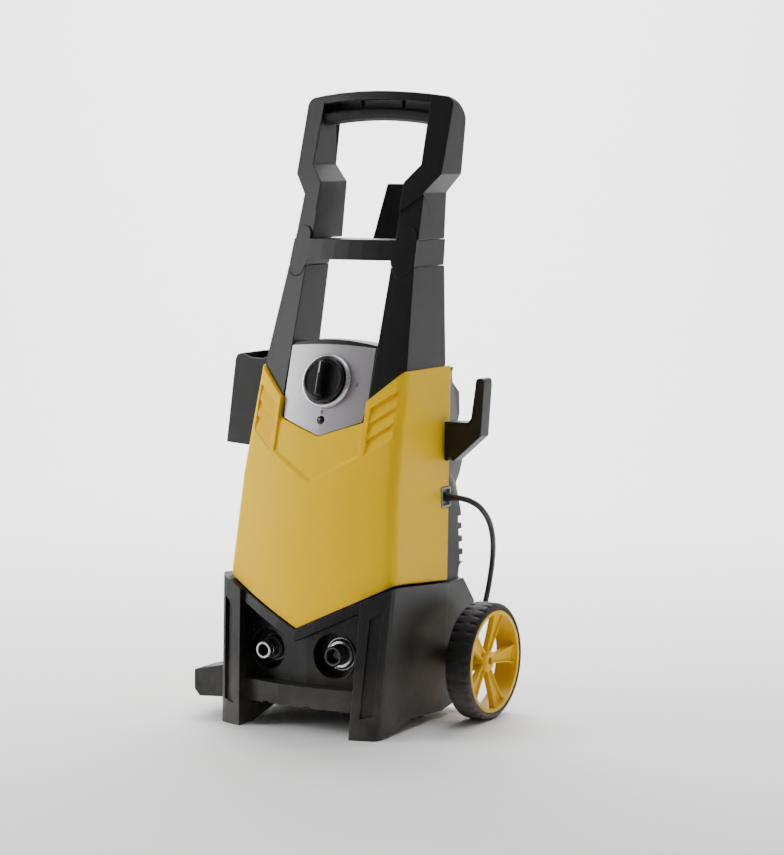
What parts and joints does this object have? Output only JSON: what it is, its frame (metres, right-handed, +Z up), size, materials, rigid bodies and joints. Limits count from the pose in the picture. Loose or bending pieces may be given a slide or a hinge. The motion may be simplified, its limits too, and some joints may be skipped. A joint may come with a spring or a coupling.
{
  "type": "pressure washer",
  "caption": "Upright electric pressure washer with a tall handle, yellow front cover, control knob, two wheels, cable and hose hooks, gun holster and water connections.",
  "frame": {"origin": "on the ground in the middle of the footprint, measured without the free cord", "axes": "+Z up, -Y towards the front with the knob and the water connections, +X towards the cable side"},
  "size_m": [0.3912, 0.4457, 0.8569],
  "materials": {
    "cover_yellow": "satin injection-moulded plastic",
    "rim_yellow": "satin moulded plastic",
    "body_black": "finely textured black plastic",
    "grip_black": "soft black grip",
    "panel_silver": "silver painted plastic",
    "bezel_chrome": "polished ring",
    "knob_black": "glossy black plastic",
    "lamp_dark": "dark unlit lens",
    "tyre_rubber": "hard black tread",
    "fitting_metal": "nickel plated",
    "fitting_plastic": "black plastic",
    "gland_grey": "grey plastic",
    "cord_rubber": "black cable sheath",
    "steel": "turned",
    "laminate": "stacked sheets",
    "aluminium": "cast",
    "brass": "bare",
    "fan_plastic": "moulded",
    "switch_grey": "moulded",
    "filter_mesh": "fine mesh"
  },
  "bodies": {
    "washer_body": {"front_cover": "cover_yellow", "rear_casing": "body_black", "base_front": "body_black", "arm_left": "body_black", "arm_right": "body_black", "handle_frame": "body_black", "handle_rear_lid_left": "body_black", "handle_rear_lid_right": "body_black", "crossbar": "body_black", "panel_cap": "body_black", "gun_holster": "body_black", "lance_cup": "body_black", "cable_hook": "body_black", "hose_hook": "body_black", "handle_grip": "grip_black", "control_panel": "panel_silver", "bezel_ring": "bezel_chrome", "indicator_lamp": "lamp_dark", "outlet_fitting": "fitting_metal", "inlet_collar": "fitting_metal", "inlet_fitting": "fitting_plastic", "outlet_collar": "fitting_plastic", "cord_gland": "gland_grey", "strain_relief": "cord_rubber", "power_cord": "cord_rubber", "cord_coil": "cord_rubber", "cord_tie": "cord_rubber", "plug_body": "cord_rubber", "axle": "steel", "axle_clip_left": "steel", "axle_clip_right": "steel", "upper_bearing": "steel", "lower_bearing": "steel", "piston_spring_a": "steel", "piston_spring_b": "steel", "piston_spring_c": "steel", "stator_core": "laminate", "motor_housing": "aluminium", "motor_end_bracket": "aluminium", "pump_body": "aluminium", "pump_head": "aluminium", "stator_winding": "brass", "plug_pin_a": "brass", "plug_pin_b": "brass", "power_switch": "switch_grey", "start_capacitor": "switch_grey", "inlet_filter": "filter_mesh"},
    "wheel_left": {"tyre_left": "tyre_rubber", "rim_left": "rim_yellow"},
    "wheel_right": {"tyre_right": "tyre_rubber", "rim_right": "rim_yellow"},
    "control_knob": {"knob": "knob_black", "knob_spindle": "steel"},
    "motor_rotor": {"motor_shaft": "steel", "rotor_core": "laminate", "cooling_fan": "fan_plastic", "swash_plate": "steel"},
    "pump_piston_a": {"piston_a": "steel"},
    "pump_piston_b": {"piston_b": "steel"},
    "pump_piston_c": {"piston_c": "steel"}
  },
  "joints": [
    {"name": "wheel_left_spin", "type": "hinge", "parent": "washer_body", "child": "wheel_left", "pos_m": [-0.1771, 0.0628, 0.0802], "axis": [1, 0, 0], "continuous": true},
    {"name": "wheel_right_spin", "type": "hinge", "parent": "washer_body", "child": "wheel_right", "pos_m": [0.1771, 0.0628, 0.0802], "axis": [1, 0, 0], "continuous": true},
    {"name": "knob_turn", "type": "hinge", "parent": "washer_body", "child": "control_knob", "pos_m": [0, -0.0588, 0.4661], "axis": [0, 0.9586, -0.2847], "range_deg": [0, 90]},
    {"name": "motor_spin", "type": "hinge", "parent": "washer_body", "child": "motor_rotor", "pos_m": [0, 0.004, 0.33], "axis": [0, 0, 1], "continuous": true},
    {"name": "piston_a_slide", "type": "slide", "parent": "washer_body", "child": "pump_piston_a", "axis": [0, 0, 1], "range_m": [-0.006, 0], "stiffness_N_per_m": 400, "springref_m": 0.003, "deforming": ["piston_spring_a"]},
    {"name": "piston_b_slide", "type": "slide", "parent": "washer_body", "child": "pump_piston_b", "axis": [0, 0, 1], "range_m": [-0.006, 0], "stiffness_N_per_m": 400, "springref_m": 0.003, "deforming": ["piston_spring_b"]},
    {"name": "piston_c_slide", "type": "slide", "parent": "washer_body", "child": "pump_piston_c", "axis": [0, 0, 1], "range_m": [-0.006, 0], "stiffness_N_per_m": 400, "springref_m": 0.003, "deforming": ["piston_spring_c"]}
  ]
}
